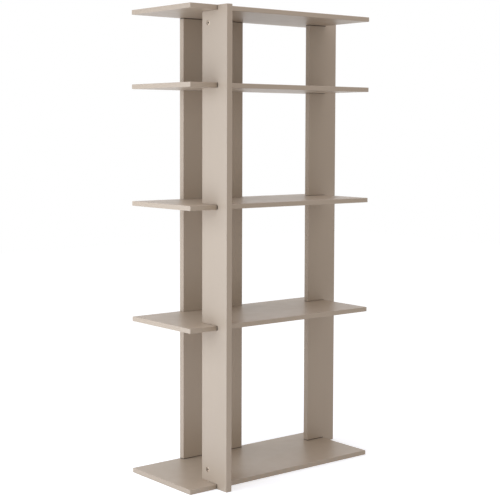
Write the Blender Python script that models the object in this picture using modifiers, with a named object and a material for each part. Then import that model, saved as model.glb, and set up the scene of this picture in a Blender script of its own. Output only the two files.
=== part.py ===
"""Open shelving unit: five plain shelves held by three board uprights.

The front upright and the side upright are slotted boards: each middle shelf slides into a routed
slot, and the top and bottom shelves lie in open rebates at the ends. The rear upright stands
between the top and bottom shelves, and the middle shelves are notched round it. Cam locks, cam
bolts and dowels hold the uprights' ends, and countersunk screws from behind hold the middle
shelves to the rear upright. Metres, +Z up, front towards -Y, origin on the floor at the middle
of the overall box.
"""

import math

import bmesh
import bpy
from mathutils import Matrix, Vector

# Driving sizes of the whole unit
unit_height = 1.800
shelf_length = 0.900
shelf_depth = 0.380
shelf_thickness = 0.018
top_bay_step = 0.284
level_step = 0.450

# Front upright: a board that crosses the shelves' front edges near their left ends
front_upright_thickness = 0.025
front_upright_width = 0.150
front_upright_reach = 0.059
front_upright_left = 0.122

# Side upright: a board that crosses the shelves' right ends towards the back
side_upright_thickness = 0.025
side_upright_width = 0.150
side_upright_reach = 0.063
side_upright_from_back = 0.091

# Rear upright: a wide board flush with the shelves' back edges
rear_upright_thickness = 0.025
rear_upright_width = 0.300
rear_upright_left = 0.227

# Routed slots and rebates
slot_corner_radius = 0.006
slot_end_room = 0.005
rebate_end_room = 0.003
corner_steps = 4

# Clearances and finish
seat_gap = 0.0003
edge_radius = 0.0012
edge_steps = 2
cut_overrun = 0.002
weld_distance = 0.00001
flat_angle = math.radians(1.0)
eased_edge_angle = math.radians(50.0)
smooth_angle = math.radians(35.0)

# Cam lock: a drum with a thin rim, turned by a cross recess
cam_radius = 0.0075
cam_rim_radius = 0.009
cam_rim_thickness = 0.001
cam_rim_edge = 0.0003
cam_length = 0.0165
cam_setback = 0.044
cam_from_edge = 0.035
cam_recess_span = 0.0080
cam_recess_slot = 0.0020
cam_recess_depth = 0.0030
cam_sides = 24

# Cam bolt: thread in one board, head in the cam lock in the other
bolt_thread_radius = 0.0025
bolt_thread_length = 0.011
bolt_tip_length = 0.0015
bolt_tip_radius = 0.0012
bolt_shank_radius = 0.0034
bolt_neck_radius = 0.0018
bolt_head_radius = 0.0033
bolt_head_length = 0.0022
bolt_hole_radius = 0.004
bolt_room = 0.0004
bolt_sides = 12

# Dowel
dowel_radius = 0.004
dowel_length = 0.030
dowel_in_face = 0.011
dowel_chamfer = 0.001
dowel_from_cam = 0.032
dowel_sides = 12

# Connecting screw: countersunk head in the rear upright's back face, thread in a shelf's edge
screw_length = 0.050
screw_head_radius = 0.005
screw_head_height = 0.0035
screw_shank_radius = 0.0032
screw_thread_radius = 0.0025
screw_tip_radius = 0.0012
screw_tip_length = 0.003
screw_recess_radius = 0.0023
screw_recess_depth = 0.0025
screw_recess_sides = 6
screw_from_edge = 0.050
screw_sides = 16

# Levels and edges that follow, measured from the shelves' front left corner on the floor
front_upright_front = -front_upright_reach
front_upright_back = front_upright_width - front_upright_reach
side_upright_right = shelf_length + side_upright_reach
side_upright_left = side_upright_right - side_upright_width
side_upright_back = shelf_depth - side_upright_from_back
rear_upright_right = rear_upright_left + rear_upright_width
rear_upright_front = shelf_depth - rear_upright_thickness
low_seat = shelf_thickness + seat_gap
high_seat = unit_height - shelf_thickness - seat_gap
upper_shelf_top = unit_height - top_bay_step
middle_shelf_top = upper_shelf_top - level_step
lower_shelf_top = middle_shelf_top - level_step
slotted_shelves = {
    "lower_shelf": lower_shelf_top,
    "middle_shelf": middle_shelf_top,
    "upper_shelf": upper_shelf_top,
}

# Turns of a flat outline: lying, standing along X, standing along Y
lying = Matrix.Identity(3)
standing_along_x = Matrix(((1, 0, 0), (0, 0, -1), (0, 1, 0)))
standing_along_y = Matrix(((0, 0, 1), (1, 0, 0), (0, 1, 0)))

right, back, up = Vector((1, 0, 0)), Vector((0, 1, 0)), Vector((0, 0, 1))
shelf_corner = -right * side_upright_right / 2 - back * (shelf_depth - front_upright_reach) / 2


def empty_scene():
    for item in list(bpy.data.objects):
        bpy.data.objects.remove(item, do_unlink=True)


def new_collection(name):
    collection = bpy.data.collections.new(name)
    bpy.context.scene.collection.children.link(collection)
    return collection


def make_material(name, colour, roughness, metallic=0.0):
    material = bpy.data.materials.new(name)
    material.use_nodes = True
    shader = material.node_tree.nodes["Principled BSDF"]
    shader.inputs["Base Color"].default_value = (*colour, 1.0)
    shader.inputs["Roughness"].default_value = roughness
    shader.inputs["Metallic"].default_value = metallic
    material.diffuse_color = (*colour, 1.0)
    return material


def place(item, collection, turn=lying, at=Vector()):
    """Link an object and set it at a point measured from the shelves' front left corner."""
    collection.objects.link(item)
    item.matrix_world = Matrix.Translation(shelf_corner + at) @ turn.to_4x4()
    return item


def smooth(mesh):
    mesh.shade_smooth()
    mesh.set_sharp_from_angle(angle=smooth_angle)


def outline_mesh(name, outline, thickness):
    """Fill a closed flat outline, give it its thickness and weld the caps to the sides."""
    curve = bpy.data.curves.new(name + "_outline", "CURVE")
    curve.dimensions = "2D"
    curve.fill_mode = "BOTH"
    curve.extrude = thickness / 2
    spline = curve.splines.new("POLY")
    spline.points.add(len(outline) - 1)
    for point, (across, along) in zip(spline.points, outline):
        point.co = (across, along, 0, 1)
    spline.use_cyclic_u = True
    guide = bpy.data.objects.new(name + "_outline", curve)
    bpy.context.scene.collection.objects.link(guide)
    depsgraph = bpy.context.evaluated_depsgraph_get()
    mesh = bpy.data.meshes.new_from_object(guide.evaluated_get(depsgraph))
    bpy.data.objects.remove(guide, do_unlink=True)
    bpy.data.curves.remove(curve)
    shape = bmesh.new()
    shape.from_mesh(mesh)
    bmesh.ops.remove_doubles(shape, verts=shape.verts, dist=weld_distance)
    bmesh.ops.dissolve_limit(shape, angle_limit=flat_angle, verts=shape.verts, edges=shape.edges)
    bmesh.ops.recalc_face_normals(shape, faces=shape.faces)
    shape.to_mesh(mesh)
    shape.free()
    mesh.name = name
    return mesh


def turned_mesh(name, profile, sides):
    """Turn a profile of (radius, height) points, top to bottom, all the way round."""
    mesh = bpy.data.meshes.new(name + "_profile")
    points = [(radius, 0, height) for radius, height in profile]
    mesh.from_pydata(points, [(i, i + 1) for i in range(len(points) - 1)], [])
    guide = bpy.data.objects.new(name + "_profile", mesh)
    bpy.context.scene.collection.objects.link(guide)
    screw = guide.modifiers.new("Turn", "SCREW")
    screw.steps = sides
    screw.render_steps = sides
    screw.use_merge_vertices = True
    screw.merge_threshold = weld_distance
    depsgraph = bpy.context.evaluated_depsgraph_get()
    turned = bpy.data.meshes.new_from_object(guide.evaluated_get(depsgraph))
    bpy.data.objects.remove(guide, do_unlink=True)
    bpy.data.meshes.remove(mesh)
    turned.name = name
    return turned


def add_board(name, outline, thickness, turn, at):
    """A lacquered board with eased edges. `at` is the middle of its thickness."""
    mesh = outline_mesh(name, outline, thickness)
    mesh.materials.append(lacquer)
    board = place(bpy.data.objects.new(name, mesh), parts, turn, at)
    ease = board.modifiers.new("Eased edges", "BEVEL")
    ease.width = edge_radius
    ease.segments = edge_steps
    ease.limit_method = "ANGLE"
    ease.angle_limit = eased_edge_angle
    return board


def corner_arc(centre, run, rise, first, last):
    """Points of a quarter round. Angle 0 looks along `rise`, a right angle along `run`."""
    points = []
    for step in range(corner_steps + 1):
        angle = first + (last - first) * step / corner_steps
        across = centre[0] + slot_corner_radius * run * math.sin(angle)
        height = centre[1] + slot_corner_radius * rise * math.cos(angle)
        points.append((across, height))
    return points


def slot_points(open_edge, shelf_edge, run, shelf_top):
    """One slot, from its mouth round its rounded inner end and back, from below upwards."""
    bottom = shelf_top - shelf_thickness - seat_gap
    top = shelf_top + seat_gap
    inner = shelf_edge + run * (slot_end_room - slot_corner_radius)
    quarter = math.pi / 2
    points = [(open_edge, bottom)]
    points += corner_arc((inner, bottom + slot_corner_radius), run, -1, 0, quarter)
    points += corner_arc((inner, top - slot_corner_radius), run, 1, quarter, 0)
    points.append((open_edge, top))
    return points


def slotted_outline(open_edge, outer_edge, shelf_edge):
    """An upright's outline: rebates at both ends and one slot for each middle shelf."""
    run = math.copysign(1, outer_edge - open_edge)
    shoulder = shelf_edge + run * rebate_end_room
    points = [(outer_edge, 0), (shoulder, 0), (shoulder, low_seat), (open_edge, low_seat)]
    for shelf_top in sorted(slotted_shelves.values()):
        points += slot_points(open_edge, shelf_edge, run, shelf_top)
    points += [(open_edge, high_seat), (shoulder, high_seat)]
    points += [(shoulder, unit_height), (outer_edge, unit_height)]
    return points


def rectangle(low, high):
    return [low, (high[0], low[1]), high, (low[0], high[1])]


def notched_shelf_outline():
    """A shelf whose back edge is cut out round the rear upright."""
    notch_left = rear_upright_left - seat_gap
    notch_right = rear_upright_right + seat_gap
    notch_front = rear_upright_front - seat_gap
    points = [(0, 0), (shelf_length, 0), (shelf_length, shelf_depth), (notch_right, shelf_depth)]
    points += [(notch_right, notch_front), (notch_left, notch_front)]
    points += [(notch_left, shelf_depth), (0, shelf_depth)]
    return points


def add_shelves():
    plain = rectangle((0, 0), (shelf_length, shelf_depth))
    tops = {"bottom_shelf": shelf_thickness, "top_shelf": unit_height, **slotted_shelves}
    for name, top in tops.items():
        outline = notched_shelf_outline() if name in slotted_shelves else plain
        middle = top - shelf_thickness / 2
        boards[name] = add_board(name, outline, shelf_thickness, lying, up * middle)


def add_uprights():
    outline = slotted_outline(front_upright_back, front_upright_front, 0)
    middle = front_upright_left + front_upright_thickness / 2
    boards["front_upright"] = add_board(
        "front_upright", outline, front_upright_thickness, standing_along_y, right * middle)
    outline = slotted_outline(side_upright_left, side_upright_right, shelf_length)
    middle = side_upright_back - side_upright_thickness / 2
    boards["side_upright"] = add_board(
        "side_upright", outline, side_upright_thickness, standing_along_x, back * middle)
    outline = rectangle((rear_upright_left, low_seat), (rear_upright_right, high_seat))
    middle = rear_upright_front + rear_upright_thickness / 2
    boards["rear_upright"] = add_board(
        "rear_upright", outline, rear_upright_thickness, standing_along_x, back * middle)


def frame_of(z_axis, x_axis):
    """The turn whose local Z and X point along the two given directions."""
    return Matrix((x_axis, z_axis.cross(x_axis), z_axis)).transposed()


def cylinder_cutter(shape, radius, sides, start, end):
    """Add a closed cylinder between two points to a mesh of cutters."""
    axis = end - start
    made = bmesh.ops.create_cone(
        shape, cap_ends=True, segments=sides, radius1=radius, radius2=radius, depth=axis.length)
    turn = up.rotation_difference(axis).to_matrix().to_4x4()
    matrix = Matrix.Translation((start + end) / 2) @ turn
    bmesh.ops.transform(shape, matrix=matrix, verts=made["verts"])


def add_cut(target, name, mesh, turn=lying, at=Vector()):
    cutter = place(bpy.data.objects.new(name, mesh), cutters, turn, at)
    cutter.hide_render = True
    cutter.display_type = "WIRE"
    cut = target.modifiers.new(name, "BOOLEAN")
    cut.operation = "DIFFERENCE"
    cut.solver = "EXACT"
    cut.object = cutter
    return cutter


def cam_profile(grow, overrun):
    """Rim and drum round the bolt's axis at height zero, grown by a gap when it is a cutter."""
    axis_depth = front_upright_thickness / 2
    face = axis_depth - seat_gap
    rim_floor = face - cam_rim_thickness - grow
    drum_floor = face - cam_length - grow
    rim = cam_rim_radius + grow
    drum = cam_radius + grow
    if overrun:
        top = axis_depth + overrun
        head = [(0, top), (rim, top)]
    else:
        head = [(0, face), (rim - cam_rim_edge, face), (rim, face - cam_rim_edge)]
    return head + [(rim, rim_floor), (drum, rim_floor), (drum, drum_floor), (0, drum_floor)]


def box_mesh(name, size, at):
    shape = bmesh.new()
    made = bmesh.ops.create_cube(shape, size=1)
    bmesh.ops.scale(shape, vec=size, verts=made["verts"])
    bmesh.ops.translate(shape, vec=at, verts=made["verts"])
    return finish_mesh(name, shape)


def cylinders_mesh(name, pieces):
    """One mesh of cylinders that stay clear of each other: (radius, sides, start, end)."""
    shape = bmesh.new()
    for radius, sides, start, end in pieces:
        cylinder_cutter(shape, radius, sides, start, end)
    return finish_mesh(name, shape)


def finish_mesh(name, shape):
    mesh = bpy.data.meshes.new(name)
    shape.to_mesh(mesh)
    shape.free()
    return mesh


def cut_mesh(name, mesh, cuts, material):
    """The mesh that is left after the cuts, each of them a mesh and its turn."""
    body = place(bpy.data.objects.new(name, mesh), cutters)
    used = [body]
    for number, (cut, turn) in enumerate(cuts):
        used.append(add_cut(body, name + "_cut_" + str(number), cut, turn))
    bpy.context.view_layer.update()
    depsgraph = bpy.context.evaluated_depsgraph_get()
    finished = bpy.data.meshes.new_from_object(body.evaluated_get(depsgraph))
    for item in used:
        bpy.data.objects.remove(item, do_unlink=True)
    finished.name = name
    smooth(finished)
    finished.materials.clear()
    finished.materials.append(material)
    return finished


def cam_mesh():
    """A cam lock: cross recess on its face, chamber and neck slot for the bolt's head."""
    face = front_upright_thickness / 2 - seat_gap
    height = cam_recess_depth + cut_overrun
    middle = face - cam_recess_depth + height / 2
    arm = box_mesh("cam_recess", (cam_recess_span, cam_recess_slot, height), (0, 0, middle))
    outside = right * (cam_radius + cut_overrun)
    chamber_radius = bolt_head_radius + bolt_room
    chamber_end = right * (bolt_head_length / 2 + bolt_room)
    chamber = cylinders_mesh("cam_chamber", [(chamber_radius, bolt_sides, -outside, chamber_end)])
    neck_radius = bolt_neck_radius + bolt_room
    neck = cylinders_mesh("cam_neck", [(neck_radius, bolt_sides, Vector((0, 0, 0)), outside)])
    drum = turned_mesh("cam_lock", cam_profile(0, 0), cam_sides)
    quarter_turn = Matrix.Rotation(math.pi / 2, 3, "Z")
    cuts = [(arm, lying), (arm, quarter_turn), (chamber, lying), (neck, lying)]
    return cut_mesh("cam_lock", drum, cuts, nickel)


def bolt_mesh():
    """A cam bolt. Height zero is the face that it is screwed into, its head is below."""
    head_top = -cam_setback + bolt_head_length / 2
    neck_top = -cam_setback + cam_radius + seat_gap
    profile = [
        (0, bolt_thread_length),
        (bolt_tip_radius, bolt_thread_length),
        (bolt_thread_radius, bolt_thread_length - bolt_tip_length),
        (bolt_thread_radius, -seat_gap),
        (bolt_shank_radius, -seat_gap),
        (bolt_shank_radius, neck_top),
        (bolt_neck_radius, neck_top),
        (bolt_neck_radius, head_top),
        (bolt_head_radius, head_top),
        (bolt_head_radius, head_top - bolt_head_length),
        (0, head_top - bolt_head_length),
    ]
    mesh = turned_mesh("cam_bolt", profile, bolt_sides)
    smooth(mesh)
    mesh.materials.append(plated_steel)
    return mesh


def dowel_mesh():
    """A plain dowel with chamfered ends. Height zero is the face between the two boards."""
    top = dowel_in_face
    bottom = dowel_in_face - dowel_length
    end_radius = dowel_radius - dowel_chamfer
    profile = [
        (0, top),
        (end_radius, top),
        (dowel_radius, top - dowel_chamfer),
        (dowel_radius, bottom + dowel_chamfer),
        (end_radius, bottom),
        (0, bottom),
    ]
    mesh = turned_mesh("dowel", profile, dowel_sides)
    smooth(mesh)
    mesh.materials.append(beech)
    return mesh


def screw_profile(grow, overrun):
    """Countersunk head and shank. Height zero is the upright's back face."""
    face = -seat_gap
    head_top = overrun if overrun else face
    head_floor = face - screw_head_height
    shank_end = -rear_upright_thickness - overrun
    head = screw_head_radius + grow
    shank = screw_shank_radius + grow
    points = [(0, head_top), (head, head_top)]
    if overrun:
        points.append((head, face))
    return points + [(shank, head_floor), (shank, shank_end)]


def screw_mesh():
    """A connecting screw with a hexagon recess in its head."""
    shank_end = -rear_upright_thickness
    tip = -screw_length
    thread = [
        (screw_thread_radius, shank_end),
        (screw_thread_radius, tip + screw_tip_length),
        (screw_tip_radius, tip),
        (0, tip),
    ]
    mesh = turned_mesh("connecting_screw", screw_profile(0, 0) + thread, screw_sides)
    floor = -seat_gap - screw_recess_depth
    hexagon = (screw_recess_radius, screw_recess_sides, up * cut_overrun, up * floor)
    recess = cylinders_mesh("screw_recess", [hexagon])
    return cut_mesh("connecting_screw", mesh, [(recess, lying)], plated_steel)


def screw_hole_mesh():
    points = screw_profile(seat_gap, cut_overrun)
    return turned_mesh("screw_hole", points + [(0, points[-1][1])], screw_sides)


def fasten_with_cam(tag, shelf, upright, seat, along, face):
    """A cam bolt screwed into a shelf and caught by a cam lock in an upright.

    `seat` lies on the shelf's face, `along` runs from there into the upright, and `face` looks
    out of the upright where the cam lock shows.
    """
    turn = frame_of(face, -along)
    centre = seat + along * cam_setback
    place(bpy.data.objects.new("cam_lock_" + tag, cam), parts, turn, centre)
    place(bpy.data.objects.new("cam_bolt_" + tag, bolt), parts, frame_of(-along, face), seat)
    shaped_cuts.setdefault(upright, []).append((cam_hole, turn, centre))
    thread_radius = bolt_thread_radius + seat_gap
    thread_end = seat - along * (bolt_thread_length + seat_gap)
    outside = seat + along * cut_overrun
    round_cuts.setdefault(shelf, []).append((thread_radius, bolt_sides, outside, thread_end))
    mouth = seat - along * cut_overrun
    round_cuts.setdefault(upright, []).append((bolt_hole_radius, bolt_sides, mouth, centre))


def fasten_with_dowel(tag, shelf, upright, seat, along):
    """A dowel that lines an upright up with a shelf, its longer end in the upright."""
    turn = frame_of(-along, right)
    place(bpy.data.objects.new("dowel_" + tag, dowel), parts, turn, seat)
    start = seat - along * (dowel_in_face + seat_gap)
    end = seat + along * (dowel_length - dowel_in_face + seat_gap)
    hole = (dowel_radius + seat_gap, dowel_sides, start, end)
    dowel_cuts.setdefault(shelf, []).append(hole)
    dowel_cuts.setdefault(upright, []).append(hole)


def fasten_with_screw(tag, shelf, seat):
    """A screw from the rear upright's back face at `seat` into a shelf's edge."""
    turn = frame_of(back, right)
    place(bpy.data.objects.new("connecting_screw_" + tag, screw), parts, turn, seat)
    shaped_cuts.setdefault("rear_upright", []).append((screw_hole, turn, seat))
    start = seat - back * (rear_upright_thickness - cut_overrun)
    end = seat - back * (screw_length + seat_gap)
    hole = (screw_thread_radius + seat_gap, screw_sides, start, end)
    round_cuts.setdefault(shelf, []).append(hole)


def fasten_upright_ends():
    """Cam locks and dowels where the three uprights meet the top and bottom shelves."""
    ends = (
        ("top", "top_shelf", unit_height - shelf_thickness, -up),
        ("bottom", "bottom_shelf", shelf_thickness, up),
    )
    front_x = front_upright_left + front_upright_thickness / 2
    front_y = front_upright_back - cam_from_edge
    side_x = side_upright_left + cam_from_edge
    side_y = side_upright_back - side_upright_thickness / 2
    rear_y = rear_upright_front + rear_upright_thickness / 2
    rear_places = {
        "left": (rear_upright_left + cam_from_edge, dowel_from_cam),
        "right": (rear_upright_right - cam_from_edge, -dowel_from_cam),
    }
    for end, shelf, level, along in ends:
        seat = Vector((front_x, front_y, level))
        fasten_with_cam("front_" + end, shelf, "front_upright", seat, along, -right)
        seat = Vector((front_x, front_y - dowel_from_cam, level))
        fasten_with_dowel("front_" + end, shelf, "front_upright", seat, along)
        seat = Vector((side_x, side_y, level))
        fasten_with_cam("side_" + end, shelf, "side_upright", seat, along, back)
        seat = Vector((side_x + dowel_from_cam, side_y, level))
        fasten_with_dowel("side_" + end, shelf, "side_upright", seat, along)
        for side, (x, to_dowel) in rear_places.items():
            tag = "rear_" + end + "_" + side
            seat = Vector((x, rear_y, level))
            fasten_with_cam(tag, shelf, "rear_upright", seat, along, back)
            seat = Vector((x + to_dowel, rear_y, level))
            fasten_with_dowel(tag, shelf, "rear_upright", seat, along)


def fasten_middle_shelves():
    """Two screws from behind for each shelf that is notched round the rear upright."""
    places = {
        "left": rear_upright_left + screw_from_edge,
        "right": rear_upright_right - screw_from_edge,
    }
    for shelf, top in slotted_shelves.items():
        for side, x in places.items():
            seat = Vector((x, shelf_depth, top - shelf_thickness / 2))
            fasten_with_screw(shelf + "_" + side, shelf, seat)


def drill_boards():
    """Cut the holes for the fittings: shaped ones first, then bolt holes, then dowel holes."""
    for name, board in boards.items():
        for number, (mesh, turn, at) in enumerate(shaped_cuts.get(name, [])):
            add_cut(board, name + "_shaped_hole_" + str(number), mesh, turn, at)
        if name in round_cuts:
            holes = cylinders_mesh(name + "_round_holes", round_cuts[name])
            add_cut(board, name + "_round_holes", holes)
        if name in dowel_cuts:
            holes = cylinders_mesh(name + "_dowel_holes", dowel_cuts[name])
            add_cut(board, name + "_dowel_holes", holes)


empty_scene()
parts = new_collection("shelving_unit")
cutters = new_collection("cutters")

lacquer = make_material("greige_lacquer", (0.40, 0.34, 0.29), 0.35)
nickel = make_material("nickel_plated_zinc", (0.62, 0.60, 0.57), 0.30, 1.0)
plated_steel = make_material("zinc_plated_steel", (0.58, 0.58, 0.57), 0.38, 1.0)
beech = make_material("beech", (0.62, 0.45, 0.28), 0.60)

boards, shaped_cuts, round_cuts, dowel_cuts = {}, {}, {}, {}
cam = cam_mesh()
cam_hole = turned_mesh("cam_hole", cam_profile(seat_gap, cut_overrun), cam_sides)
bolt = bolt_mesh()
dowel = dowel_mesh()
screw = screw_mesh()
screw_hole = screw_hole_mesh()

add_shelves()
add_uprights()
fasten_upright_ends()
fasten_middle_shelves()
drill_boards()
bpy.context.view_layer.update()
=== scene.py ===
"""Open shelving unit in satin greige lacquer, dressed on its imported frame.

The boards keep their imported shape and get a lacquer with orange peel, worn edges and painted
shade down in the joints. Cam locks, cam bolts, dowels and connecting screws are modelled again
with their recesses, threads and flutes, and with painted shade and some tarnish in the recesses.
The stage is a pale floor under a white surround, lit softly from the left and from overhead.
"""

import math

import bmesh
import bpy
from bpy.props import FloatProperty, FloatVectorProperty, IntProperty, PointerProperty
from mathutils import Matrix, Vector


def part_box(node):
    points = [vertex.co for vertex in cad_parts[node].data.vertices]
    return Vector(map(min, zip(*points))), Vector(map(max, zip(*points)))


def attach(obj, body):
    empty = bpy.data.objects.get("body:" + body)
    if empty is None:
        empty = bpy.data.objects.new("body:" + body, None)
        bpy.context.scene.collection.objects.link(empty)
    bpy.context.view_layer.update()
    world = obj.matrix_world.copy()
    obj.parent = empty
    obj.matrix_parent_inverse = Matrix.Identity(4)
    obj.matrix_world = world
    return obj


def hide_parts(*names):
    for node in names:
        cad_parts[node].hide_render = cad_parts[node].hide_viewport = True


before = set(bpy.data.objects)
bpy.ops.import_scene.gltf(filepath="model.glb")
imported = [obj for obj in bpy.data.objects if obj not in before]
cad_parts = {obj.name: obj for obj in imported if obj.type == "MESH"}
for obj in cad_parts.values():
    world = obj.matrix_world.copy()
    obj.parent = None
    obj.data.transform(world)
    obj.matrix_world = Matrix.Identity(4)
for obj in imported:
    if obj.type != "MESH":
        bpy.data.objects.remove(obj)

bl_info = {
    "name": "Open shelving unit",
    "version": (1, 0, 0),
    "blender": (4, 5, 0),
    "location": "3D View > Sidebar > Shelving",
    "description": "Lacquered boards, fittings and studio for an open shelving unit",
    "category": "Object",
}

BODY = "root"
BOARDS = (
    "top_shelf", "upper_shelf", "middle_shelf", "lower_shelf", "bottom_shelf",
    "front_upright", "side_upright", "rear_upright",
)
STANDING_BOARDS = ("side_upright", "rear_upright")
CAM_PLACES = (
    "front_top", "front_bottom", "side_top", "side_bottom",
    "rear_top_left", "rear_top_right", "rear_bottom_left", "rear_bottom_right",
)
SCREW_PLACES = (
    "lower_shelf_left", "lower_shelf_right", "middle_shelf_left",
    "middle_shelf_right", "upper_shelf_left", "upper_shelf_right",
)
LEFT, RIGHT = Vector((-1, 0, 0)), Vector((1, 0, 0))
BACK, UP = Vector((0, 1, 0)), Vector((0, 0, 1))

# Boards: lengths in metres and areas in square metres
WELD_REACH = 0.00001                    # corners nearer to each other than this are one
FLAT_ANGLE = math.radians(0.5)          # faces that meet at less than this are one
BOARD_SHADING = math.radians(50.0)      # sharper edges than this look sharp
STRAIGHT = 0.999                        # a face is slanted if no part of its normal has this
JOINT_FACE = 0.004                      # a larger face is never a joint's own

# Turned fittings
FITTING_SHADING = math.radians(35.0)
SIDES = 48                              # flat strips round a turned piece
FACING = 0.9                            # a face looks along an axis if its normal has this
CROSS_TAPER = 0.86                      # width of a driver cross at its bottom
WINDING_STEPS = 24                      # steps in a turn of a thread
TRIANGLE_WIDTH = 1.5                    # width of a triangle in a circle of radius 1
RIDGE_ROOT = 0.9                        # where a ridge starts, as a share of the core
RIDGE_END = 0.95                        # where its open ends are drawn in to
RIDGE_SCALE = 0.42                      # size of a ridge along the axis, as a share of the pitch
RIM_EASE = 0.35                         # rounding of a cam lock's rim, as a share of its thickness
CONE_WIDTH, CONE_DEPTH = 0.6, 0.8       # its driver cone's end, as shares of mouth and cross
CUTTER_REACH = 1.3                      # how far out its cutters go, as a share of the drum
SPIN_STEPS, SPIN_START = 24, 0.0002     # steps of its neck slot, and width of the spun block

# Stage
KEY_PLACE, KEY_SIZE = (-1.7, 0.2, 1.0), (1.6, 2.2)
TOP_PLACE, TOP_SIZE = (0.0, -0.2, 3.3), (2.6, 2.6)
LAMP_AIM = (0, 0, 0.9)                  # half way up the object
FLOOR_DROP = 0.0004                     # how far the floor lies under the feet
NEAR_FLOOR, FAR_FLOOR = 0.8, 3.0        # where the floor's glow starts and stops changing
SENSOR_WIDTH = 36.0                     # in millimetres

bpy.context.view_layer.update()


# Settings, which the panel shows

def length(name, description, default):
    """A setting in metres."""
    return FloatProperty(name=name, description=description, default=default, min=0.0,
                         subtype="DISTANCE", unit="LENGTH", precision=5)


def share(name, description, default):
    """A setting from 0 to 1."""
    return FloatProperty(name=name, description=description, default=default, min=0.0, max=1.0,
                         subtype="FACTOR")


def colour(name, description, default):
    """A setting for a colour, in linear values."""
    return FloatVectorProperty(name=name, description=description, default=default, min=0.0,
                               max=1.0, size=3, subtype="COLOR")


class BoardSettings(bpy.types.PropertyGroup):
    lacquer: colour("Lacquer", "Colour of the lacquer on every board", (0.423, 0.331, 0.243))
    worn: colour("Eased edge", "Colour of the lacquer where it thins out over the eased edges",
                 (0.463, 0.371, 0.281))
    core: colour("Board core", "Bare fibreboard inside the drilled holes", (0.33, 0.215, 0.125))
    roughness: share("Roughness", "How matt the satin lacquer is", 0.40)
    gloss: share("Gloss", "Strength of the reflection off the lacquer", 0.58)
    peel_size: length("Orange peel", "Width of the small waves left by spraying", 0.0016)
    peel_height: length("Orange peel height", "Height of those waves", 0.000012)
    cloud_size: length("Clouding", "Width of the faint light and dark areas", 0.34)
    # Painted shade down in the joints: its colour, and how far it reaches from a shelf, past a
    # shelf in the front upright's slots, and up an upright's ends
    joint: colour("Joint line", "Dark line where two boards meet", (0.05, 0.036, 0.026))
    slot_reach: length("Slot reach", "How far from a shelf a slot's dark line goes", 0.0017)
    slot_room: length("Slot room", "How far the front upright's slots go on past a shelf", 0.005)
    foot_reach: length("Foot reach", "How far from a shelf an upright's end is dark", 0.003)
    core_reach: length("Core reach", "How far round a fitting the bare core shows", 0.0012)


class CamSettings(bpy.types.PropertyGroup):
    nickel: colour("Nickel", "Plating on the rim and the face", (0.86, 0.70, 0.54))
    # Painted shade, with some tarnish: its colour in the driver recess, and its share on the wall
    # round the sunk face
    tarnish: colour("Tarnish", "Dull metal down in the driver recess", (0.018, 0.010, 0.006))
    wall_tarnish_shade: share("Wall tarnish", "How dull the wall round the sunk face is", 1.0)
    roughness: share("Roughness", "How matt the plating is", 0.42)
    rim_room: length("Rim room", "How much narrower the rim is than its packed shape", 0.0003)
    rim_thickness: length("Rim thickness", "Thickness of the rim round the drum", 0.001)
    rim_width: length("Rim width", "Width of the flat ring on top of the rim", 0.0002)
    drum_radius: length("Drum radius", "Radius of the drum in its hole", 0.0075)
    drum_wall: length("Drum wall", "Wall of the drum round the sunk face", 0.0009)
    dish_depth: length("Dish", "How deep the face lies below the rim", 0.0014)
    boss_radius: length("Boss radius", "Radius of the raised middle of the face", 0.0056)
    boss_height: length("Boss height", "Height of the raised middle over the face", 0.00025)
    mouth_radius: length("Driver mouth", "Radius of the cone in the middle", 0.0046)
    cross_span: length("Cross span", "Length of each arm of the driver cross", 0.0092)
    cross_width: length("Cross width", "Width of each arm of the driver cross", 0.0020)
    cross_depth: length("Cross depth", "Depth of the driver cross", 0.0030)
    chamber_radius: length("Chamber radius", "Radius of the hollow for the bolt's head", 0.0037)
    neck_width: length("Neck slot", "Width of the slot that hooks the bolt's neck", 0.0044)


class BoltSettings(bpy.types.PropertyGroup):
    zinc: colour("Zinc", "Plating of the cam bolts", (0.56, 0.565, 0.555))
    # Painted shade, with some tarnish, at the bottom of the driver cross
    dull: colour("Dull zinc", "Bottom of the driver cross", (0.14, 0.135, 0.125))
    roughness: share("Roughness", "How matt the plating is", 0.34)
    head_radius: length("Head radius", "Radius of the head inside the cam lock", 0.0033)
    head_length: length("Head length", "Height of the head", 0.0022)
    neck_radius: length("Neck radius", "Radius of the neck that the cam hooks", 0.0018)
    neck_length: length("Neck length", "Length of the neck", 0.0067)
    shank_radius: length("Shank radius", "Radius of the long shank", 0.0034)
    shank_ease: length("Shank chamfer", "Chamfer at both ends of the shank", 0.0003)
    thread_radius: length("Thread radius", "Radius over the thread", 0.0025)
    thread_core: length("Thread core", "Radius at the bottom of the thread", 0.0019)
    thread_length: length("Thread length", "Length of the threaded end", 0.0113)
    thread_pitch: length("Pitch", "Distance from ridge to ridge", 0.0018)
    tip_length: length("Tip", "Length of the tapered tip", 0.0015)
    tip_radius: length("Tip radius", "Radius of the end of the tip", 0.0012)
    cross_span: length("Cross span", "Length of each arm of the driver cross", 0.0036)
    cross_width: length("Cross width", "Width of each arm of the driver cross", 0.0009)
    cross_depth: length("Cross depth", "Depth of the driver cross", 0.0012)


class DowelSettings(bpy.types.PropertyGroup):
    beech: colour("Beech", "Wood of the dowels", (0.56, 0.385, 0.225))
    fleck: colour("Fleck", "Short dark flecks in the wood", (0.34, 0.205, 0.105))
    sides: IntProperty(name="Sides", description="Flat strips round a dowel, every second fluted",
                       default=40, min=8)
    chamfer: length("Chamfer", "Chamfer at both ends", 0.001)
    flute_wall: length("Flute wall", "Width of the slope beside each flute", 0.00008)
    flute_depth: length("Flute depth", "Depth of the pressed flutes", 0.0003)


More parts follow.
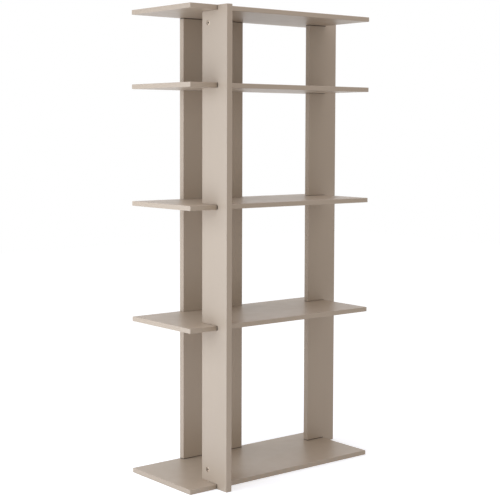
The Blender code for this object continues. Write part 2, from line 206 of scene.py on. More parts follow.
class ScrewSettings(bpy.types.PropertyGroup):
    zinc: colour("Zinc", "Plating of the connecting screws", (0.58, 0.575, 0.55))
    # Painted shade, with some tarnish, inside the hexagon recess
    dull: colour("Dull zinc", "Inside of the hexagon recess", (0.10, 0.093, 0.083))
    roughness: share("Roughness", "How matt the plating is", 0.34)
    head_height: length("Head height", "Height of the countersunk head", 0.0035)
    head_edge: length("Head edge", "Height of the narrow edge of the head", 0.0003)
    shank_radius: length("Shank radius", "Radius of the shank in the upright", 0.0032)
    shank_end: length("Shank end", "Where the shank ends, from the head's face", 0.0247)
    thread_radius: length("Thread radius", "Radius over the thread", 0.0025)
    thread_core: length("Thread core", "Radius at the bottom of the thread", 0.0019)
    thread_pitch: length("Pitch", "Distance from ridge to ridge", 0.0022)
    tip_length: length("Tip", "Length of the tapered tip", 0.003)
    tip_radius: length("Tip radius", "Radius of the end of the tip", 0.0012)
    key_radius: length("Key radius", "Radius over the corners of the hexagon recess", 0.0023)
    key_depth: length("Key depth", "Depth of the hexagon recess", 0.0025)
    key_lead: length("Key lead", "Width of the cone round the recess", 0.0003)


class StageSettings(bpy.types.PropertyGroup):
    camera_place: FloatVectorProperty(
        name="Camera place", description="Where the camera stands", size=3,
        subtype="TRANSLATION", unit="LENGTH", default=(-3.07413, -3.69756, 1.34654))
    camera_heading: FloatProperty(
        name="Heading", description="Turn of the camera to the right of straight back",
        default=math.radians(39.074), subtype="ANGLE", unit="ROTATION")
    camera_tilt: FloatProperty(
        name="Tilt", description="How far the camera looks up", default=math.radians(-3.428),
        subtype="ANGLE", unit="ROTATION")
    camera_roll: FloatProperty(
        name="Roll", description="Turn of the camera about its own axis",
        default=math.radians(0.178), subtype="ANGLE", unit="ROTATION")
    focal_length: FloatProperty(
        name="Focal length", description="Lens in millimetres on a 36 mm wide sensor",
        default=87.105, min=1.0)
    lens_drop: FloatProperty(
        name="Lens drop", description="Vertical shift of the lens as a share of the picture",
        default=-0.09732)
    floor_size: length("Floor", "Side of the square floor", 16.0)
    floor_shade: share("Floor shade", "Lightness of the floor", 0.90)
    floor_glow: FloatProperty(
        name="Floor glow", description="Light that the camera sees from the floor by itself",
        default=0.42, min=0.0)
    far_glow: FloatProperty(
        name="Far glow", description="The same light farther than three metres away",
        default=0.54, min=0.0)
    ambient: FloatProperty(
        name="Ambient", description="Strength of the even light from all round", default=0.55,
        min=0.0)
    key_power: FloatProperty(
        name="Key light", description="Power of the large soft light close at the left",
        default=30.5, min=0.0, unit="POWER")
    key_colour: colour("Key light colour", "Cool daylight from the left", (0.72, 0.83, 1.0))
    top_power: FloatProperty(
        name="Top light", description="Power of the large soft light overhead",
        default=38.0, min=0.0, unit="POWER")
    top_colour: colour("Top light colour", "Slightly cool light from above", (0.83, 0.83, 1.0))


# Selecting, editing and finishing pieces

def select_only(piece):
    """Select this object and nothing else, and make it active."""
    if bpy.context.mode != "OBJECT":
        bpy.ops.object.mode_set(mode="OBJECT")
    bpy.ops.object.select_all(action="DESELECT")
    piece.select_set(True)
    bpy.context.view_layer.objects.active = piece


def newest(name):
    """Name the object that was added last."""
    piece = bpy.context.view_layer.objects.active
    piece.name = name
    return piece


def write_place():
    """Write the place of the selected object into its mesh."""
    bpy.ops.object.transform_apply(location=True, rotation=True, scale=True)


def remove(piece):
    select_only(piece)
    bpy.ops.object.delete()


def everything(part):
    return True


def edit_where(piece, kind, test):
    """Enter edit mode with the faces or vertices selected for which the test holds."""
    select_only(piece)
    bpy.ops.object.mode_set(mode="EDIT")
    bpy.ops.mesh.select_mode(type={"faces": "FACE", "verts": "VERT"}[kind])
    bpy.ops.mesh.select_all(action="DESELECT")
    shape = bmesh.from_edit_mesh(piece.data)
    for part in getattr(shape, kind):
        if test(part):
            part.select_set(True)
    shape.select_flush_mode()
    bmesh.update_edit_mesh(piece.data)


def leave_edit():
    bpy.ops.object.mode_set(mode="OBJECT")


def leave_facing_out():
    """Turn all faces outwards and leave edit mode."""
    bpy.ops.mesh.select_all(action="SELECT")
    bpy.ops.mesh.normals_make_consistent(inside=False)
    leave_edit()


def apply_modifier(piece, kind, **values):
    """Give a piece a modifier with these values and apply it at once."""
    select_only(piece)
    bpy.ops.object.modifier_add(type=kind)
    modifier = piece.modifiers[-1]
    for name, value in values.items():
        setattr(modifier, name, value)
    bpy.ops.object.modifier_apply(modifier=modifier.name)


def combine(piece, other, operation):
    """Join another shape to a piece or take it out of it, and delete the other shape."""
    apply_modifier(piece, "BOOLEAN", operation=operation, solver="EXACT", object=other)
    remove(other)


def cut_away(piece, cutter):
    combine(piece, cutter, "DIFFERENCE")


def soft_shading(piece, angle):
    """Smooth shading over rounded places, with flat faces kept flat."""
    select_only(piece)
    bpy.ops.object.shade_smooth_by_angle(angle=angle)
    apply_modifier(piece, "WEIGHTED_NORMAL", keep_sharp=True)


def set_place(piece, matrix):
    """Move a piece that was made round the origin and write its place into its mesh."""
    piece.matrix_world = matrix
    select_only(piece)
    write_place()


def copy_of(piece, name):
    select_only(piece)
    bpy.ops.object.duplicate()
    return newest(name)


def dress(piece, materials, node):
    """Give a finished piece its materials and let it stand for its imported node."""
    piece.data.name = piece.name
    piece.data.materials.clear()
    for material in materials:
        piece.data.materials.append(material)
    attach(piece, BODY)
    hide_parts(node)


def axes_matrix(x_axis, z_axis, place):
    """Stand a local X and Z along two directions at a place."""
    turn = Matrix((x_axis, z_axis.cross(x_axis), z_axis)).transposed().to_4x4()
    return Matrix.Translation(place) @ turn


def corners(node):
    """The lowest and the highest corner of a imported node."""
    low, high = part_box(node)
    return Vector(low), Vector(high)


def middle(node):
    low, high = corners(node)
    return (low + high) / 2


# Building blocks of the materials

class Nodes:
    """The node tree of a new material or surround, filled from left to right."""

    def __init__(self, owner, output="ShaderNodeOutputMaterial"):
        owner.use_nodes = True
        self.owner = owner
        self.tree = owner.node_tree
        self.tree.nodes.clear()
        self.output = self.add(output)

    def add(self, kind, inputs=None, **settings):
        """A node with its settings, and with a value or a link in each named input."""
        node = self.tree.nodes.new(kind)
        for name, value in settings.items():
            setattr(node, name, value)
        for name, value in (inputs or {}).items():
            if isinstance(value, bpy.types.NodeSocket):
                self.tree.links.new(value, node.inputs[name])
            else:
                node.inputs[name].default_value = value
        return node

    def object_place(self, scale=(1, 1, 1)):
        place = self.add("ShaderNodeTexCoord").outputs["Object"]
        return self.stretch(place, scale)

    def own_place(self):
        """Where the surface lies in a fitting's own axes, as keep_own_place stored it."""
        return self.attribute("own_place", "Vector")

    def attribute(self, name, output="Fac"):
        return self.add("ShaderNodeAttribute", attribute_name=name).outputs[output]

    def stretch(self, place, scale):
        return self.add("ShaderNodeMapping", {"Vector": place, "Scale": scale}).outputs[0]

    def from_axis(self, place):
        """Distance from the Z axis."""
        flat = self.add("ShaderNodeVectorMath", {0: place, 1: (1, 1, 0)}, operation="MULTIPLY")
        return self.add("ShaderNodeVectorMath", {0: flat.outputs[0]},
                        operation="LENGTH").outputs["Value"]

    def noise(self, place, width, detail=2.0, roughness=0.5):
        inputs = {"Vector": place, "Scale": 1.0 / width, "Detail": detail, "Roughness": roughness}
        return self.add("ShaderNodeTexNoise", inputs).outputs["Fac"]

    def spread(self, value, low, high, to_low=0.0, to_high=1.0):
        """Draw out the values from low to high to another range."""
        inputs = {"Value": value, "From Min": low, "From Max": high,
                  "To Min": to_low, "To Max": to_high}
        return self.add("ShaderNodeMapRange", inputs).outputs["Result"]

    def blend(self, factor, first, second):
        """The first colour where the factor is 0 and the second where it is 1."""
        return self.add("ShaderNodeMix", {0: factor, 6: first, 7: second},
                        data_type="RGBA").outputs[2]

    def combine(self, operation, first, second):
        return self.add("ShaderNodeMath", {0: first, 1: second}, operation=operation).outputs[0]

    def bump(self, height, distance, normal=None):
        inputs = {"Height": height, "Distance": distance}
        if normal:
            inputs["Normal"] = normal
        return self.add("ShaderNodeBump", inputs).outputs["Normal"]

    def finish(self, shader):
        """Link the last shader to the output."""
        self.tree.links.new(shader.outputs[0], self.output.inputs["Surface"])
        return self.owner


def new_material(name):
    return Nodes(bpy.data.materials.new(name))


def tint(base, factor=1.0):
    """A colour made lighter or darker, as a colour socket takes it."""
    return (*(min(1.0, part * factor) for part in base), 1.0)


def lacquer_material(board):
    """Sprayed satin lacquer: faint clouding, orange peel, a few nibs, thin edges, painted shade in
    joints.
    """
    grain_size, wear_size, wipe_size, nibs_per_metre = 0.0021, 0.012, 0.055, 55.0
    nib_edge, nib_core, gloss_change = 0.035, 0.018, 0.035
    nodes = new_material("greige_lacquer_finish")
    place = nodes.object_place()
    cloud = nodes.spread(nodes.noise(place, board.cloud_size, 3.0), 0.35, 0.65)
    base = nodes.blend(cloud, tint(board.lacquer, 0.975), tint(board.lacquer, 1.025))
    grain = nodes.spread(nodes.noise(place, grain_size), 0.3, 0.7)
    base = nodes.blend(grain, base, tint(board.lacquer, 1.012))
    # Nibs are small grains of dust under the lacquer, a few in every board
    nibs = nodes.add("ShaderNodeTexVoronoi", {"Vector": place, "Scale": nibs_per_metre})
    nib = nodes.spread(nibs.outputs["Distance"], nib_edge, nib_core)
    base = nodes.blend(nib, base, tint(board.lacquer, 0.90))
    # Thinner lacquer in places along the eased edges, and shadow down in the joints
    wear = nodes.spread(nodes.noise(place, wear_size, 3.0, 0.6), 0.30, 0.75, 0.25, 1.0)
    worn = nodes.combine("MULTIPLY", nodes.attribute("eased_edge"), wear)
    base = nodes.blend(worn, base, tint(board.worn))
    # Painted shade darkens the narrow faces down in the joints
    base = nodes.blend(nodes.attribute("joint_line"), base, tint(board.joint))
    # Tall patches of more and less gloss, then the waves of the orange peel
    wipe = nodes.noise(nodes.object_place((1.0, 1.0, 0.25)), wipe_size, 3.0)
    rough = nodes.spread(wipe, 0.3, 0.7, board.roughness - gloss_change,
                         board.roughness + gloss_change)
    normal = nodes.bump(nodes.noise(place, board.peel_size, 1.5), board.peel_height)
    normal = nodes.bump(nib, board.peel_height * 2.0, normal)
    return nodes.finish(nodes.add("ShaderNodeBsdfPrincipled", {
        "Base Color": base, "Roughness": rough, "Specular IOR Level": board.gloss,
        "Normal": normal}))


def core_material(board):
    """Bare fibreboard in the drilled holes: short matted fibres."""
    fibre_size, fibre_height = 0.0006, 0.00008
    nodes = new_material("bare_board_core")
    fibre = nodes.spread(nodes.noise(nodes.object_place(), fibre_size, 4.0, 0.7), 0.3, 0.7)
    base = nodes.blend(fibre, tint(board.core, 0.82), tint(board.core, 1.15))
    return nodes.finish(nodes.add("ShaderNodeBsdfPrincipled", {
        "Base Color": base, "Roughness": 0.9, "Normal": nodes.bump(fibre, fibre_height)}))


class SHELVING_OT_boards(bpy.types.Operator):
    """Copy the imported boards, merge their facets, shade their eased edges and lacquer them"""
    bl_idname = "shelving.boards"
    bl_label = "Boards"

    def execute(self, context):
        settings = context.scene.shelving_boards
        finishes = (lacquer_material(settings), core_material(settings))
        for name in BOARDS:
            board = copy_of(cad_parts[name], name + "_board")
            edit_where(board, "verts", everything)
            bpy.ops.mesh.remove_doubles(threshold=WELD_REACH)
            bpy.ops.mesh.dissolve_limited(angle_limit=FLAT_ANGLE)
            leave_edit()
            if name in STANDING_BOARDS:
                cut_off_feet(board, settings.foot_reach)
            dress(board, finishes, name)
            mark_drilled_faces(board, settings.core_reach)
            mark_edges(board, joint_boxes(settings, name))
            soft_shading(board, BOARD_SHADING)
        return {"FINISHED"}


def cut_off_feet(board, reach):
    """Divide an upright's faces near the bottom shelf, the top shelf and the shelves' ends, for
    painted shade.
    """
    foot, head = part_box("bottom_shelf")[1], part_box("top_shelf")[0]
    for place, along in ((Vector((0, 0, foot[2] + reach)), UP),
                         (Vector((0, 0, head[2] - reach)), UP),
                         (Vector((foot[0] + reach, 0, 0)), RIGHT)):
        edit_where(board, "faces", everything)
        bpy.ops.mesh.bisect(plane_co=place, plane_no=along)
        leave_edit()


def grown(low, high, room):
    """A box with some room on every side."""
    grow = Vector((room, room, room))
    return low - grow, high + grow


def within(point, boxes):
    """Whether a point lies in one of the boxes."""
    return any(all(low[i] < point[i] < high[i] for i in range(3)) for low, high in boxes)


def mark_drilled_faces(board, room):
    """Give the walls and floors of the drilled holes the bare core as their material."""
    fittings = [kind + place for kind in ("cam_lock_", "cam_bolt_", "dowel_")
                for place in CAM_PLACES]
    fittings += ["connecting_screw_" + place for place in SCREW_PLACES]
    boxes = [grown(*corners(node), room) for node in fittings]
    for face in board.data.polygons:
        face.material_index = 1 if within(face.center, boxes) else 0


def joint_boxes(settings, name):
    """Boxes round the other boards where painted shade goes, but in the front upright only its
    slot ends.
    """
    reach = settings.foot_reach if name in STANDING_BOARDS else settings.slot_reach
    boxes = []
    for other in BOARDS:
        if other != name:
            low, high = corners(other)
            if name == "front_upright":
                low.y, high.y = low.y - settings.slot_room, low.y
            boxes.append(grown(low, high, reach))
    return boxes


def mark_edges(board, joints):
    """Mark the eased edges, and apart from them the narrow faces down in the joints for painted
    shade.
    """
    eased = board.data.attributes.new("eased_edge", "FLOAT", "FACE")
    joint = board.data.attributes.new("joint_line", "FLOAT", "FACE")
    for face in board.data.polygons:
        slanted = max(abs(part) for part in face.normal) < STRAIGHT
        near = within(face.center, joints)
        small = face.area < JOINT_FACE
        joint.data[face.index].value = 1.0 if near and small else 0.0
        eased.data[face.index].value = 1.0 if slanted and not near else 0.0


# Turned fittings, each modelled round its own Z axis

def turn_up(name, rings, sides=SIDES):
    """A turned piece: a disc drawn up ring by ring, each ring a radius and a height."""
    (radius, height), *others = rings
    bpy.ops.object.select_all(action="DESELECT")
    bpy.ops.mesh.primitive_circle_add(vertices=sides, radius=radius, fill_type="NGON",
                                      location=(0, 0, height))
    piece = newest(name)
    write_place()
    edit_where(piece, "faces", everything)
    for next_radius, next_height in others:
        rise = (0, 0, next_height - height)
        bpy.ops.mesh.extrude_region_move(TRANSFORM_OT_translate={"value": rise})
        scale = next_radius / radius
        bpy.ops.transform.resize(value=(scale, scale, 1), center_override=(0, 0, next_height))
        radius, height = next_radius, next_height
    leave_facing_out()
    return piece


def add_block(name, size, place, taper=1.0):
    """A cutter block round a place, its lower end drawn in by the taper."""
    bpy.ops.object.select_all(action="DESELECT")
    bpy.ops.mesh.primitive_cube_add(size=1.0, location=place)
    block = newest(name)
    block.scale = size
    write_place()
    edit_where(block, "faces", lambda face: face.normal.z < -FACING)
    bpy.ops.transform.resize(value=(taper, taper, 1), center_override=place)
    leave_edit()
    return block


def cut_cross(piece, span, width, top, depth):
    """Cut a driver cross down from a height."""
    for size in ((span, width), (width, span)):
        arm = add_block("cross_arm", (*size, 2 * depth), (0, 0, top), CROSS_TAPER)
        cut_away(piece, arm)


def add_thread(piece, core, crest, start, end, pitch):
    """Wind a ridge round the core of a piece from one height to another and join it on."""
    bpy.ops.object.select_all(action="DESELECT")
    bpy.ops.mesh.primitive_circle_add(vertices=3, radius=1.0, fill_type="NOTHING",
                                      rotation=(math.pi / 2, math.pi / 2, 0))
    ridge = newest("ridge")
    write_place()
    root = core * RIDGE_ROOT
    reach = (crest - root) / TRIANGLE_WIDTH
    edit_where(ridge, "verts", everything)
    bpy.ops.transform.resize(value=(reach, 1, pitch * RIDGE_SCALE), center_override=(0, 0, 0))
    bpy.ops.transform.translate(value=(root + reach / 2, 0, start))
    leave_edit()
    apply_modifier(ridge, "SCREW", axis="Z", angle=2 * math.pi, screw_offset=pitch,
                   iterations=int((end - start) / pitch), steps=WINDING_STEPS,
                   render_steps=WINDING_STEPS, use_smooth_shade=False)
    select_only(ridge)
    bpy.ops.object.mode_set(mode="EDIT")
    bpy.ops.mesh.select_mode(type="EDGE")
    bpy.ops.mesh.select_all(action="DESELECT")
    bpy.ops.mesh.select_non_manifold()
    sunk = core * RIDGE_END / crest
    bpy.ops.transform.resize(value=(sunk, sunk, 1), center_override=(0, 0, 0))
    bpy.ops.mesh.fill_holes(sides=4)
    leave_facing_out()
    combine(piece, ridge, "UNION")


def keep_own_place(piece):
    """Store where each vertex lies in the piece's own axes, for patterns that follow it."""
    layer = piece.data.attributes.new("own_place", "FLOAT_VECTOR", "POINT")
    for vert in piece.data.vertices:
        layer.data[vert.index].vector = vert.co


def size_along(node, direction):
    low, high = corners(node)
    return abs((high - low).dot(direction))


def end_of(node, direction):
    """The middle of the side of a node's box that looks in a direction."""
    return middle(node) + direction * size_along(node, direction) / 2


def set_copies(master, kind, places, material, axes):
    """Put a copy of a modelled fitting at each place, then drop the first one.

    For a place, axes gives the directions of the copy's Z and X axes, and that of the side of
    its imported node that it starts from.
    """
    soft_shading(master, FITTING_SHADING)
    keep_own_place(master)
    for place in places:
        node = kind + "_" + place
        z_axis, x_axis, end = axes(place)
        piece = copy_of(master, node + "_piece")
        set_place(piece, axes_matrix(x_axis, z_axis, end_of(node, end)))
        dress(piece, (material,), node)
    remove(master)


def cam_face(place):
    """Where the cam lock of a place shows: left on the front upright, else at the back."""
    return LEFT if place.startswith("front") else BACK


def to_shelf(place):
    """From a fitting in an upright's end towards its shelf."""
    return UP if "_top" in place else -UP


def mark_shaded_tarnished_faces(piece, test):
    """Store how much painted shade, with some tarnish, each face gets, from its distance from the
    axis and its height.
    """
    layer = piece.data.attributes.new("dull", "FLOAT", "FACE")
    for face in piece.data.polygons:
        x, y, height = face.center
        layer.data[face.index].value = float(test(math.hypot(x, y), height))


def plated_material(name, tone, dull, roughness):
    """Plated metal with turning marks, rubbed spots, and painted shade with some tarnish in
    recesses.
    """
    spot_size, mark_size, mark_height = 0.0011, 0.00022, 0.000012
    rubbed, spotted, dull_roughness = 0.05, 0.08, 0.9
    nodes = new_material(name)
    place = nodes.own_place()
    spots = nodes.spread(nodes.noise(place, spot_size, 4.0, 0.6), 0.35, 0.7)
    # Painted shade, with some tarnish, darkens the recesses
    recess = nodes.attribute("dull")
    base = nodes.blend(spots, tint(tone, 1.06), tint(tone, 0.86))
    base = nodes.blend(recess, base, tint(dull))
    rough = nodes.spread(spots, 0.0, 1.0, roughness - rubbed, roughness + spotted)
    # A recess shows no metal: painted shade, with some tarnish, leaves its walls dark and matt
    rough = nodes.spread(recess, 0.0, 1.0, rough, dull_roughness)
    bare = nodes.spread(recess, 0.0, 1.0, 1.0, 0.0)
    # The turning marks run round the fitting's axis
    height = nodes.add("ShaderNodeSeparateXYZ", {"Vector": place}).outputs["Z"]
    ring = nodes.add("ShaderNodeCombineXYZ", {"X": nodes.from_axis(place), "Z": height})
    marks = nodes.noise(ring.outputs[0], mark_size, 3.0, 0.7)
    return nodes.finish(nodes.add("ShaderNodeBsdfPrincipled", {
        "Base Color": base, "Roughness": rough, "Metallic": bare, "Specular IOR Level": 0.25,
        "Normal": nodes.bump(marks, mark_height)}))


def beech_material(dowel):
    """Beech with long fine grain, short dark flecks and open pores."""
    grain_size, fleck_size, long_grain, pore_depth = 0.0009, 0.00035, 0.08, 0.00004
    nodes = new_material("beech_wood")
    along = nodes.stretch(nodes.own_place(), (1.0, 1.0, long_grain))
    grain = nodes.spread(nodes.noise(along, grain_size, 4.0, 0.6), 0.3, 0.72)
    base = nodes.blend(grain, tint(dowel.beech, 1.08), tint(dowel.beech, 0.84))
    fleck = nodes.spread(nodes.noise(along, fleck_size), 0.66, 0.74)
    base = nodes.blend(fleck, base, tint(dowel.fleck))
    return nodes.finish(nodes.add("ShaderNodeBsdfPrincipled", {
        "Base Color": base, "Roughness": 0.68, "Normal": nodes.bump(grain, pore_depth)}))


class SHELVING_OT_cam_locks(bpy.types.Operator):
    """Model a cam lock with rim, dished face, driver cross and bolt chamber, and set all eight"""
    bl_idname = "shelving.cam_locks"
    bl_label = "Cam locks"

    def execute(self, context):
        cam = context.scene.shelving_cams
        first = CAM_PLACES[0]
        face = cam_face(first)
        node = "cam_lock_" + first
        rim = size_along(node, UP) / 2 - cam.rim_room
        lock = turn_up("cam_lock", cam_rings(cam, rim, size_along(node, face)))
        boss = cam.boss_height - cam.dish_depth
        cut_cross(lock, cam.cross_span, cam.cross_width, boss, cam.cross_depth)
        axis = -(end_of(node, face) - middle("cam_bolt_" + first)).dot(face)
        cut_bolt_chamber(lock, cam, axis)
        skin = cam.boss_height / 4

        # Painted shade, with some tarnish, in the driver recess and on the wall round the sunk
        # face
        def dull(away, height):
            driver = away < cam.cross_span / 2 and -2 * cam.boss_radius < height < boss - skin
            wall = (cam.drum_radius - cam.drum_wall + skin < away < rim - cam.rim_thickness
                    and boss < height < -skin)
            return 1.0 if driver else cam.wall_tarnish_shade if wall else 0.0

        mark_shaded_tarnished_faces(lock, dull)
        metal = plated_material("nickel_plating", cam.nickel, cam.tarnish, cam.roughness)
        set_copies(lock, "cam_lock", CAM_PLACES, metal,
                   lambda place: (cam_face(place), to_shelf(place), cam_face(place)))
        return {"FINISHED"}


def cam_rings(cam, rim, depth):
    """Rings of a cam lock from the drum's foot up to the rim and down into the driver cone."""
    ease = cam.rim_thickness * RIM_EASE
    arc = [(rim - ease + ease * math.cos(turn), -ease + ease * math.sin(turn))
           for turn in (math.radians(part) for part in (0, 30, 60, 90))]
    inner = rim - ease - cam.rim_width
    floor = -cam.dish_depth
    boss = floor + cam.boss_height
    return [
        (cam.drum_radius - ease, -depth), (cam.drum_radius, ease - depth),
        (cam.drum_radius, -cam.rim_thickness), (rim, -cam.rim_thickness), *arc,
        (inner, 0.0), (inner - ease / 2, -ease / 2), (cam.drum_radius - cam.drum_wall, floor),
        (cam.boss_radius + cam.boss_height, floor), (cam.boss_radius, boss),
        (cam.mouth_radius, boss),
        (cam.mouth_radius * CONE_WIDTH, floor - cam.cross_depth * CONE_DEPTH),
    ]


def cut_bolt_chamber(lock, cam, axis):
    """Hollow the drum for the bolt's head and cut the slot that its neck runs in."""
    radius = cam.chamber_radius
    across = cam.drum_radius * CUTTER_REACH
    hollow = turn_up("hollow", [(radius, axis - radius), (radius, axis + radius)])
    cut_away(lock, hollow)
    door = turn_up("door", [(radius, 0.0), (radius, across)])
    set_place(door, Matrix.Translation((0, 0, axis)) @ Matrix.Rotation(-math.pi / 2, 4, "Y"))
    cut_away(lock, door)
    slot = add_block("slot", (across - radius / 2, SPIN_START, cam.neck_width),
                     (-(across + radius / 2) / 2, 0, axis))
    edit_where(slot, "faces", lambda face: face.normal.y > FACING)
    bpy.ops.mesh.spin(steps=SPIN_STEPS, angle=math.pi, center=(0, 0, axis), axis=(0, 0, 1))
    leave_facing_out()
    cut_away(lock, slot)


class SHELVING_OT_cam_bolts(bpy.types.Operator):
    """Model a cam bolt with its head, neck, shank and wound thread, and set all eight"""
    bl_idname = "shelving.cam_bolts"
    bl_label = "Cam bolts"

    def execute(self, context):
        bolt = context.scene.shelving_bolts
        end = size_along("cam_bolt_" + CAM_PLACES[0], UP)
        ease = bolt.shank_ease
        head, neck = bolt.head_length, bolt.head_length + bolt.neck_length
        thread, tip = end - bolt.thread_length, end - bolt.tip_length
        piece = turn_up("cam_bolt", [
            (bolt.head_radius - 2 * ease, 0.0), (bolt.head_radius - ease / 2, ease / 2),
            (bolt.head_radius, 2 * ease), (bolt.head_radius, head - ease),
            (bolt.head_radius - ease, head), (bolt.neck_radius, head), (bolt.neck_radius, neck),
            (bolt.shank_radius - ease, neck), (bolt.shank_radius, neck + ease),
            (bolt.shank_radius, thread - ease), (bolt.shank_radius - ease, thread),
            (bolt.thread_core, thread), (bolt.thread_core, tip), (bolt.tip_radius, end)])
        add_thread(piece, bolt.thread_core, bolt.thread_radius, thread + bolt.thread_pitch / 2,
                   tip, bolt.thread_pitch)
        set_place(piece, Matrix.Rotation(math.pi, 4, "X"))
        cut_cross(piece, bolt.cross_span, bolt.cross_width, 0.0, bolt.cross_depth)
        # Painted shade, with some tarnish, in the driver cross
        mark_shaded_tarnished_faces(piece, lambda away, height: (
            away < bolt.cross_span / 2 and -bolt.head_length < height < -ease / 4))
        metal = plated_material("bolt_plating", bolt.zinc, bolt.dull, bolt.roughness)
        set_copies(piece, "cam_bolt", CAM_PLACES, metal,
                   lambda place: (-to_shelf(place), cam_face(place), -to_shelf(place)))
        return {"FINISHED"}


class SHELVING_OT_dowels(bpy.types.Operator):
    """Model a fluted beech dowel and set all eight"""
    bl_idname = "shelving.dowels"
    bl_label = "Dowels"

    def execute(self, context):
        dowel = context.scene.shelving_dowels
        node = "dowel_" + CAM_PLACES[0]
        end, radius = size_along(node, UP), size_along(node, BACK) / 2
        piece = turn_up("dowel", [
            (radius - dowel.chamfer, 0.0), (radius, dowel.chamfer),
            (radius, end - dowel.chamfer), (radius - dowel.chamfer, end)], dowel.sides)
        strip = 2 * math.pi / dowel.sides

        def fluted(face):
            x, y, _ = face.calc_center_median()
            number = int(math.atan2(y, x) // strip)
            return abs(face.normal.z) < 1 - FACING and number % 2 == 0

        edit_where(piece, "faces", fluted)
        bpy.ops.mesh.inset(thickness=dowel.flute_wall, depth=-dowel.flute_depth,
                           use_individual=True)
        leave_edit()
        set_copies(piece, "dowel", CAM_PLACES, beech_material(dowel),
                   lambda place: (to_shelf(place), LEFT, -to_shelf(place)))
        return {"FINISHED"}


class SHELVING_OT_screws(bpy.types.Operator):
    """Model a connecting screw with a hexagon recess and a wound thread, and set all six"""
    bl_idname = "shelving.screws"
    bl_label = "Connecting screws"

    def execute(self, context):
        screw = context.scene.shelving_screws
        node = "connecting_screw_" + SCREW_PLACES[0]
        point, head = -size_along(node, BACK), size_along(node, UP) / 2
        edge, key = screw.head_edge, screw.key_radius + screw.key_lead
        shank, tip = -screw.shank_end, point + screw.tip_length
        piece = turn_up("connecting_screw", [
            (screw.tip_radius, point), (screw.thread_core, tip),
            (screw.thread_core, shank), (screw.shank_radius - edge, shank),
            (screw.shank_radius, shank + edge), (screw.shank_radius, -screw.head_height),
            (head - edge / 2, -1.2 * edge), (head - edge / 2, -edge / 2),
            (head - edge, 0.0), (key, 0.0), (key - screw.key_lead, -screw.key_lead)])
        add_thread(piece, screw.thread_core, screw.thread_radius, tip,
                   shank - screw.thread_pitch / 2, screw.thread_pitch)
        hexagon = turn_up("hexagon", [(screw.key_radius, -screw.key_depth),
                                      (screw.key_radius, screw.key_depth)], 6)
        cut_away(piece, hexagon)
        # Painted shade, with some tarnish, in the hexagon recess
        mark_shaded_tarnished_faces(piece, lambda away, height: (
            away < key and -2 * screw.key_depth < height < -screw.key_lead))
        metal = plated_material("screw_plating", screw.zinc, screw.dull, screw.roughness)
        set_copies(piece, "connecting_screw", SCREW_PLACES, metal,
                   lambda place: (BACK, UP, BACK))
        return {"FINISHED"}


# The stage

def floor_material(stage):
    """A white floor that keeps the object's shadow and looks white to camera and gloss."""
    nodes = new_material("white_floor")
    shade = stage.floor_shade
    matt = nodes.add("ShaderNodeBsdfDiffuse", {"Color": (shade, shade, shade, 1.0)}).outputs[0]
    away = nodes.from_axis(nodes.object_place())
    glow = nodes.add("ShaderNodeEmission", {"Strength": nodes.spread(
        away, NEAR_FLOOR, FAR_FLOOR, stage.floor_glow, stage.far_glow)}).outputs[0]
    both = nodes.add("ShaderNodeAddShader", {0: matt, 1: glow}).outputs[0]
    return nodes.finish(nodes.add("ShaderNodeMixShader", {
        0: seen_directly(nodes), 1: matt, 2: both}))


def seen_directly(nodes):
    """1 for rays from the camera, a glossy surface or through glass, 0 for lighting."""
    path = nodes.add("ShaderNodeLightPath").outputs
    seen = nodes.combine("MAXIMUM", path["Is Camera Ray"], path["Is Glossy Ray"])
    return nodes.combine("MAXIMUM", seen, path["Is Transmission Ray"])


def add_surround(stage):
    """White to the eye and in reflections, an even weaker light on everything."""
    nodes = Nodes(bpy.data.worlds.new("studio_surround"), "ShaderNodeOutputWorld")
    strength = nodes.spread(seen_directly(nodes), 0.0, 1.0, stage.ambient, 1.0)
    bpy.context.scene.world = nodes.finish(nodes.add("ShaderNodeBackground", {
        "Color": (1.0, 1.0, 1.0, 1.0), "Strength": strength}))


def add_softbox(name, place, size, power, tone):
    """A large rectangular lamp turned towards the middle of the object."""
    bpy.ops.object.light_add(type="AREA", location=place)
    lamp = newest(name)
    aim = Vector(LAMP_AIM) - Vector(place)
    lamp.rotation_euler = aim.to_track_quat("-Z", "Y").to_euler()
    lamp.data.shape = "RECTANGLE"
    lamp.data.size, lamp.data.size_y = size
    lamp.data.energy = power
    lamp.data.color = tone
    lamp.visible_camera = False


def add_camera(stage):
    """The camera at the photographed height and heading."""
    heading, tilt, roll = stage.camera_heading, stage.camera_tilt, stage.camera_roll
    turn = Matrix.Rotation(-heading, 3, "Z") @ Matrix.Rotation(math.pi / 2 + tilt, 3, "X")
    turn = turn @ Matrix.Rotation(roll, 3, "Z")
    bpy.ops.object.camera_add(location=stage.camera_place, rotation=turn.to_euler())
    camera = newest("studio_camera")
    camera.data.sensor_width = SENSOR_WIDTH
    camera.data.lens = stage.focal_length
    camera.data.shift_y = stage.lens_drop
    camera.data.clip_end = 100.0
    bpy.context.scene.camera = camera


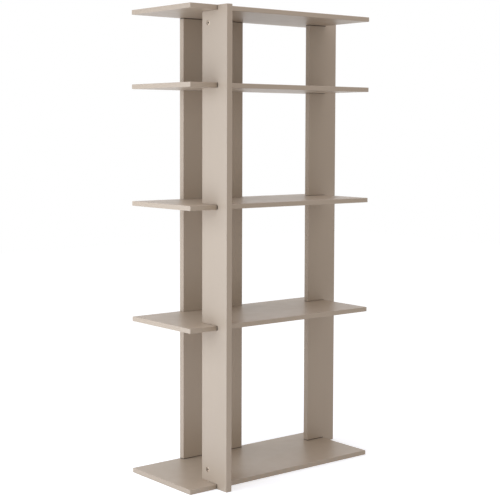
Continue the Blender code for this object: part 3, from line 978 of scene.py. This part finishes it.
class SHELVING_OT_stage(bpy.types.Operator):
    """Lay the floor and set up the surround, the lights and the camera"""
    bl_idname = "shelving.stage"
    bl_label = "Studio"

    def execute(self, context):
        stage = context.scene.shelving_stage
        bpy.ops.object.select_all(action="DESELECT")
        bpy.ops.mesh.primitive_plane_add(size=stage.floor_size, location=(0, 0, -FLOOR_DROP))
        floor = newest("studio_floor")
        write_place()
        floor.data.materials.append(floor_material(stage))
        add_surround(stage)
        add_softbox("key_softbox", KEY_PLACE, KEY_SIZE, stage.key_power, stage.key_colour)
        add_softbox("top_softbox", TOP_PLACE, TOP_SIZE, stage.top_power, stage.top_colour)
        add_camera(stage)
        context.scene.view_settings.view_transform = "Standard"
        return {"FINISHED"}


class SHELVING_PT_panel(bpy.types.Panel):
    """Sizes, colours and steps of the shelving unit"""
    bl_idname = "SHELVING_PT_panel"
    bl_label = "Open shelving unit"
    bl_space_type = "VIEW_3D"
    bl_region_type = "UI"
    bl_category = "Shelving"

    def draw(self, context):
        for operator, settings in STEPS:
            box = self.layout.box()
            group = getattr(context.scene, settings)
            for name in group.__annotations__:
                box.prop(group, name)
            box.operator(operator)


STEPS = (
    ("shelving.boards", "shelving_boards"),
    ("shelving.cam_locks", "shelving_cams"),
    ("shelving.cam_bolts", "shelving_bolts"),
    ("shelving.dowels", "shelving_dowels"),
    ("shelving.screws", "shelving_screws"),
    ("shelving.stage", "shelving_stage"),
)
GROUPS = {
    "shelving_boards": BoardSettings, "shelving_cams": CamSettings,
    "shelving_bolts": BoltSettings, "shelving_dowels": DowelSettings,
    "shelving_screws": ScrewSettings, "shelving_stage": StageSettings,
}
CLASSES = (
    *GROUPS.values(), SHELVING_OT_boards, SHELVING_OT_cam_locks, SHELVING_OT_cam_bolts,
    SHELVING_OT_dowels, SHELVING_OT_screws, SHELVING_OT_stage, SHELVING_PT_panel,
)


def register():
    for item in CLASSES:
        bpy.utils.register_class(item)
    for name, group in GROUPS.items():
        setattr(bpy.types.Scene, name, PointerProperty(type=group))


def unregister():
    for name in GROUPS:
        delattr(bpy.types.Scene, name)
    for item in reversed(CLASSES):
        bpy.utils.unregister_class(item)


def main():
    register()
    for operator, _ in STEPS:
        family, step = operator.split(".")
        getattr(getattr(bpy.ops, family), step)()


if __name__ == "__main__":
    main()
